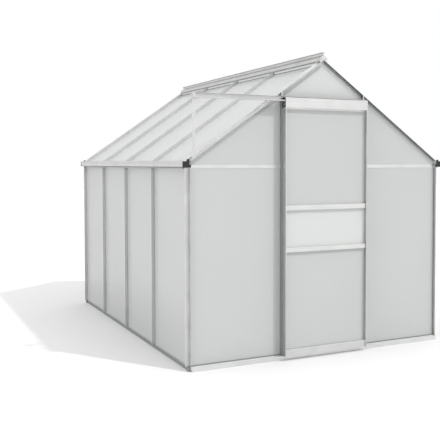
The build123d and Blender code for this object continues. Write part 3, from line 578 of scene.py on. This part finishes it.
# End plates that close the ridge over the gables
endPlate = {"reach": 0.0258, "low": 0.0194, "high": 0.0442, "face": 1.2433, "thick": 0.0014, "edge": 0.0003}
plateCorners = [(-endPlate["reach"], endPlate["low"]), (0, endPlate["low"]), (endPlate["reach"], endPlate["low"]),
                (endPlate["reach"], endPlate["high"]), (0, endPlate["high"]), (-endPlate["reach"], endPlate["high"])]
platePairs = [[[(x, end * y, roofHeight(x, n)) for x, n in plateCorners]
               for y in (endPlate["face"], endPlate["face"] + endPlate["thick"])] for end in (-1, 1)]
settle(slabs("ridgeEndPlates", platePairs, endPlate["edge"], railsAcross), "frame")

# Foam feet under the corner posts' lips, round the ends of the sills
cornerFoot = {
    "low": 0.0004, "high": 0.0272, "edge": 0.0008,
    "lip": 0.0165, "ledge": 0.0088, "post": 0.0008, "back": -0.0040,    # past the wall lines
}
footCorners = [(cornerFoot["lip"], cornerFoot["lip"]), (cornerFoot["post"], cornerFoot["lip"]),
               (cornerFoot["post"], cornerFoot["ledge"]), (cornerFoot["ledge"], cornerFoot["ledge"]),
               (cornerFoot["ledge"], cornerFoot["back"]), (cornerFoot["lip"], cornerFoot["back"])]
footPairs = [[[(side * (house["halfWidth"] + x), end * (house["halfLength"] + y), z) for x, y in footCorners]
              for z in (cornerFoot["low"], cornerFoot["high"])] for side in (-1, 1) for end in (-1, 1)]
settle(slabs("cornerFeet", footPairs, cornerFoot["edge"], greyFoam), "frame")

# Returns of the ridge's end plates, back along its wings
endReturn = {"thick": 0.0014, "height": 0.0112, "corner": 0.0003, "place": 0.0234, "middle": 0.0242, "start": 1.2255}
returnHeight = roofHeight(endReturn["place"], endReturn["middle"])
returnRuns = [[(side * endReturn["place"], end * y, returnHeight) for y in (endReturn["start"], endPlate["face"])]
              for side in (-1, 1) for end in (-1, 1)]
settle(growStrip("ridgeEndReturns", endReturn, railsAlong, returnRuns), "frame")

# Pan-head screws: two at each joint of the door's stiles and rails, two on each ridge end plate
screw = {
    "sides": 12, "headRadius": 0.0030, "headHeight": 0.0018, "washerRadius": 0.0040, "washerHeight": 0.0005,
    "doorEdge": 0.305, "doorPlace": -1.279, "doorStep": 0.008,
    "plateX": 0.016, "plateLevel": 0.032,
}
panHead = {
    "Sides": screw["sides"], "Head Radius": screw["headRadius"], "Head Height": screw["headHeight"],
    "Washer Radius": screw["washerRadius"], "Washer Height": screw["washerHeight"], "Finish": platedSteel,
}
doorScrews, doorFacing = [], []
for rail in ("door_top_rail", "door_upper_mid_rail", "door_lower_mid_rail", "door_bottom_rail"):
    low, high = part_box(rail)
    middle = (low[2] + high[2]) / 2
    for side in (-1, 1):
        for step in (-screw["doorStep"], screw["doorStep"]):
            doorScrews.append((side * screw["doorEdge"], screw["doorPlace"], middle + step))
            doorFacing.append((side, 0, 0))
settle(grow("doorScrews", screwTree, panHead, doorScrews, facing=doorFacing), "door")
plateFace = endPlate["face"] + endPlate["thick"]
plateScrews = [(side * screw["plateX"], end * plateFace, roofHeight(screw["plateX"], screw["plateLevel"]))
               for side in (-1, 1) for end in (-1, 1)]
plateFacing = [(0, place[1] / plateFace, 0) for place in plateScrews]
settle(grow("ridgeScrews", screwTree, panHead, plateScrews, facing=plateFacing), "frame")
print("small pieces: gaskets, fillers, seals, pile, plates and screws")

# Studio: pale floor, white surroundings, key light from the front right, fill from the left, soft box in front
studio = {
    "floorColour": "#dfdfdf",
    "floorSize": 60.0,
    "floorRoughness": 0.9,
    "floorShine": 0.1,
    "surround": 0.36,       # light of the surroundings on matt surfaces, 1 where they are seen
    "overhead": 1.25,       # more of it straight above
    "keyStrength": 1.33,
    "keyBearing": -55.2,    # degrees from +X
    "keyHeight": 49.5,
    "keySoftness": 2.0,
    "keyDistance": 10.0,
    "fillStrength": 103.0,  # metal doesn't mirror this one
    "fillPlace": (-7.0, -2.0, 1.6),
    "fillAim": (0, 0, 0.8),
    "fillSize": 5.0,
    "panelStrength": 18.0,  # soft box that the front faces of the bars shine with
    "panelPlace": (3.7, -7.2, 2.0),
    "panelAim": (0, 0, 1.2),
    "panelSize": 6.0,
}


def makeFloor():
    half = studio["floorSize"] / 2
    mesh = bpy.data.meshes.new("floor")
    mesh.from_pydata([(-half, -half, 0), (half, -half, 0), (half, half, 0), (-half, half, 0)], [], [(0, 1, 2, 3)])
    floor = bpy.data.objects.new("floor", mesh)
    bpy.context.scene.collection.objects.link(floor)
    material, tree = newMaterial("paleFloor")
    matt = addNode(tree, "ShaderNodeBsdfPrincipled", {
        "Base Color": linear(studio["floorColour"]), "Roughness": studio["floorRoughness"],
        "Specular IOR Level": studio["floorShine"]})
    addNode(tree, "ShaderNodeOutputMaterial", {"Surface": matt.outputs["BSDF"]})
    mesh.materials.append(material)


def makeWorld():
    world = bpy.data.worlds.new("whiteStudio")
    world.use_nodes = True
    tree = world.node_tree
    tree.nodes.clear()
    path = addNode(tree, "ShaderNodeLightPath")
    seen = addNode(tree, "ShaderNodeMath", {
        0: path.outputs["Is Camera Ray"], 1: path.outputs["Is Glossy Ray"]}, operation="MAXIMUM")
    seen = addNode(tree, "ShaderNodeMath", {
        0: seen.outputs[0], 1: path.outputs["Is Transmission Ray"]}, operation="MAXIMUM")
    bearing = addNode(tree, "ShaderNodeTexCoord")
    parts = addNode(tree, "ShaderNodeSeparateXYZ", {"Vector": bearing.outputs["Generated"]})
    sky = addNode(tree, "ShaderNodeMapRange", {
        "Value": parts.outputs["Z"], "To Min": studio["surround"],
        "To Max": studio["surround"] + studio["overhead"]})
    strength = addNode(tree, "ShaderNodeMapRange", {"Value": seen.outputs[0], "To Min": sky.outputs["Result"]})
    light = addNode(tree, "ShaderNodeBackground", {
        "Color": linear("#ffffff"), "Strength": strength.outputs["Result"]})
    addNode(tree, "ShaderNodeOutputWorld", {"Surface": light.outputs["Background"]})
    bpy.context.scene.world = world


def addLamp(name, kind, strength, place, towards):
    lamp = bpy.data.lights.new(name, kind)
    lamp.energy = strength
    holder = bpy.data.objects.new(name, lamp)
    holder.location = place
    holder.rotation_euler = (Vector(towards) - Vector(place)).to_track_quat("-Z", "Y").to_euler()
    bpy.context.scene.collection.objects.link(holder)
    return holder


makeFloor()
makeWorld()
bearing = math.radians(studio["keyBearing"])
height = math.radians(studio["keyHeight"])
towardsKey = Vector((
    math.cos(bearing) * math.cos(height), math.sin(bearing) * math.cos(height), math.sin(height)))
key = addLamp("keyLight", "SUN", studio["keyStrength"], studio["keyDistance"] * towardsKey, (0, 0, 0))
key.data.angle = math.radians(studio["keySoftness"])
fill = addLamp("fillLight", "AREA", studio["fillStrength"], studio["fillPlace"], studio["fillAim"])
fill.data.size = studio["fillSize"]
fill.visible_glossy = False
panel = addLamp("softBox", "AREA", studio["panelStrength"], studio["panelPlace"], studio["panelAim"])
panel.data.size = studio["panelSize"]

# Camera as the photograph was framed
view = {
    "place": (-2.52979, -5.33874, 1.23782),
    "turn": -27.001,        # degrees about the vertical
    "dip": 2.116,           # degrees below level
    "lens": 61.092,
    "sensor": 36.0,
    "shift": (-0.0953, -0.0670),
}
camera = bpy.data.cameras.new("camera")
camera.sensor_width = view["sensor"]
camera.lens = view["lens"]
camera.shift_x, camera.shift_y = view["shift"]
cameraHolder = bpy.data.objects.new("camera", camera)
cameraHolder.location = view["place"]
cameraHolder.rotation_euler = (math.radians(90 - view["dip"]), 0, math.radians(view["turn"]))
bpy.context.scene.collection.objects.link(cameraHolder)
bpy.context.scene.camera = cameraHolder
bpy.context.scene.view_settings.view_transform = "Standard"
print("studio: floor, key, fill, soft box and camera")
